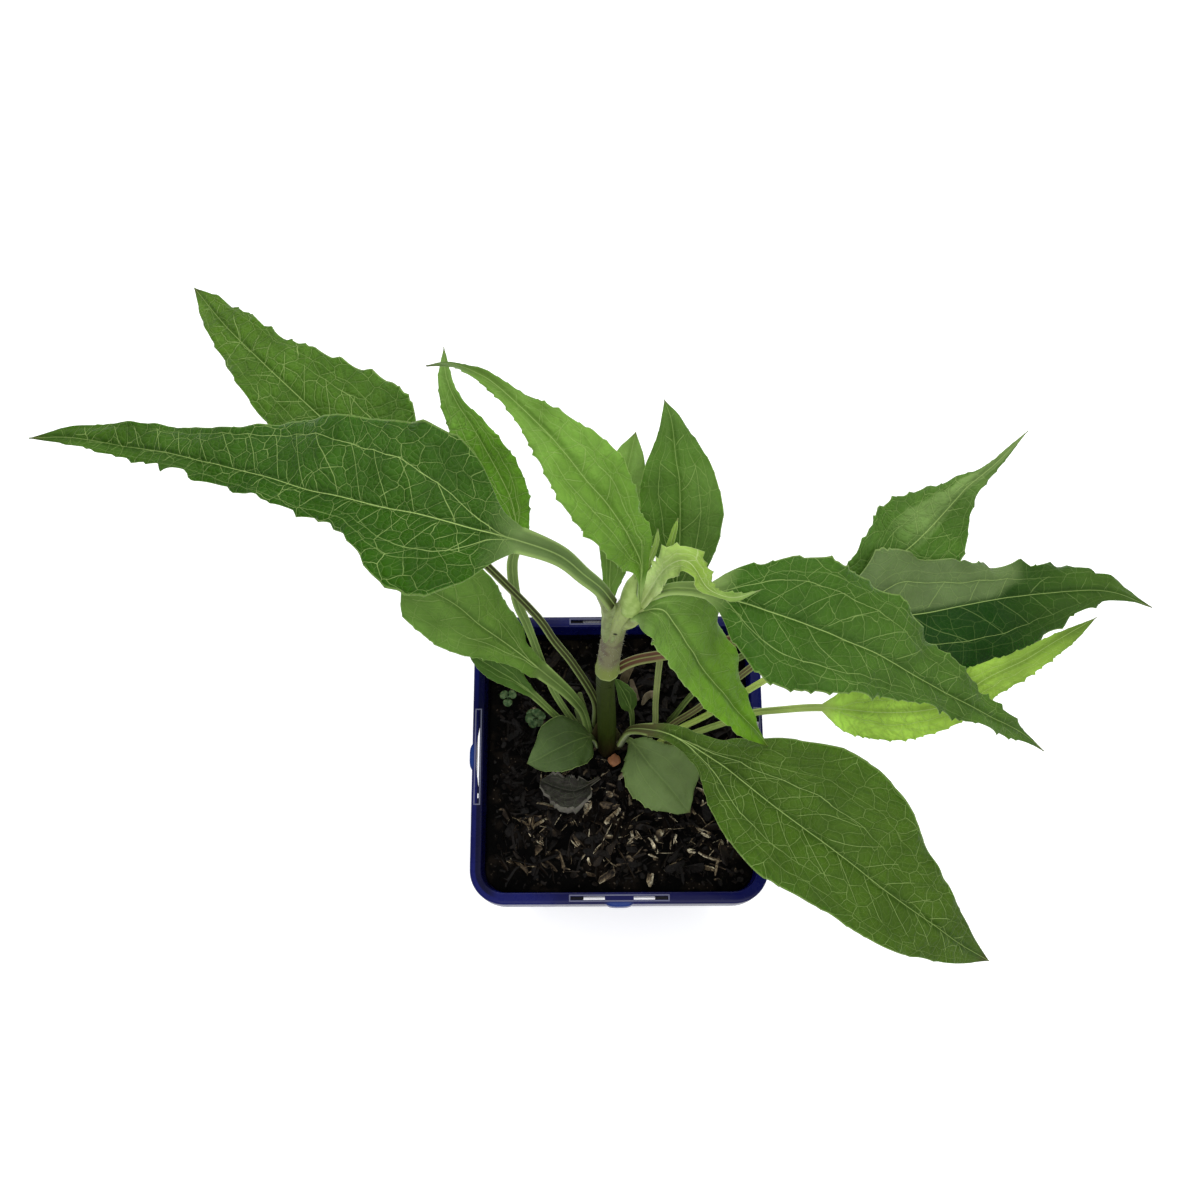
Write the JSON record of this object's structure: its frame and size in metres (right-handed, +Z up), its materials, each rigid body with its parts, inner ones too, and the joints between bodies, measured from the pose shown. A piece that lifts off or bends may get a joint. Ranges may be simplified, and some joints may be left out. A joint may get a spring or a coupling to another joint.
{
  "type": "potted purple coneflower plant",
  "caption": "Young leafy purple coneflower plant with a closed bud, growing in a square tapered nursery pot filled with potting mix.",
  "frame": {"origin": "centre of the pot's underside, the face it stands on", "axes": "+Z up, -Y towards the viewer who faces the plant's front, +X to that viewer's right"},
  "size_m": [0.3504, 0.2188, 0.2534],
  "materials": {
    "pot_plastic": "glossy dark blue moulded plastic",
    "potting_mix": "damp, dark and crumbly, with brown bark chips",
    "stem_green": "fine short hairs, olive below and pale grey-green above",
    "leaf_dark": "satin dark green with a pale net of veins",
    "leaf_mid": "satin green with paler veins",
    "leaf_bright": "soft yellow-green of a young leaf",
    "bud_pale": "pale yellow-green, downy",
    "leaf_dry": "grey-brown, crumpled and dry"
  },
  "bodies": {
    "root": {"pot": "pot_plastic", "soil": "potting_mix", "stem": "stem_green", "stem_leaf_far_left": "leaf_dark", "stem_leaf_upper_left": "leaf_bright", "stem_leaf_front": "leaf_bright", "stem_leaf_right": "leaf_mid", "stem_leaf_far_right": "leaf_dark", "bud_bract": "bud_pale", "bud_leaf_front": "bud_pale", "bud_leaf_back": "bud_pale", "basal_leaf_back_left": "leaf_mid", "basal_leaf_twisted": "leaf_mid", "basal_leaf_back": "leaf_dark", "basal_leaf_back_small": "leaf_dark", "basal_leaf_left": "leaf_mid", "basal_leaf_left_under": "leaf_mid", "basal_leaf_round_left": "leaf_mid", "basal_leaf_round_right": "leaf_mid", "basal_leaf_front_right": "leaf_mid", "basal_leaf_folded": "leaf_mid", "basal_leaf_yellow": "leaf_bright", "basal_leaf_inner": "leaf_dark", "basal_leaf_right_under": "leaf_bright", "basal_leaf_right_small": "leaf_dark", "dead_leaf": "leaf_dry", "seedling_pair": "leaf_mid", "seedling_tuft": "leaf_mid"}
  },
  "joints": []
}
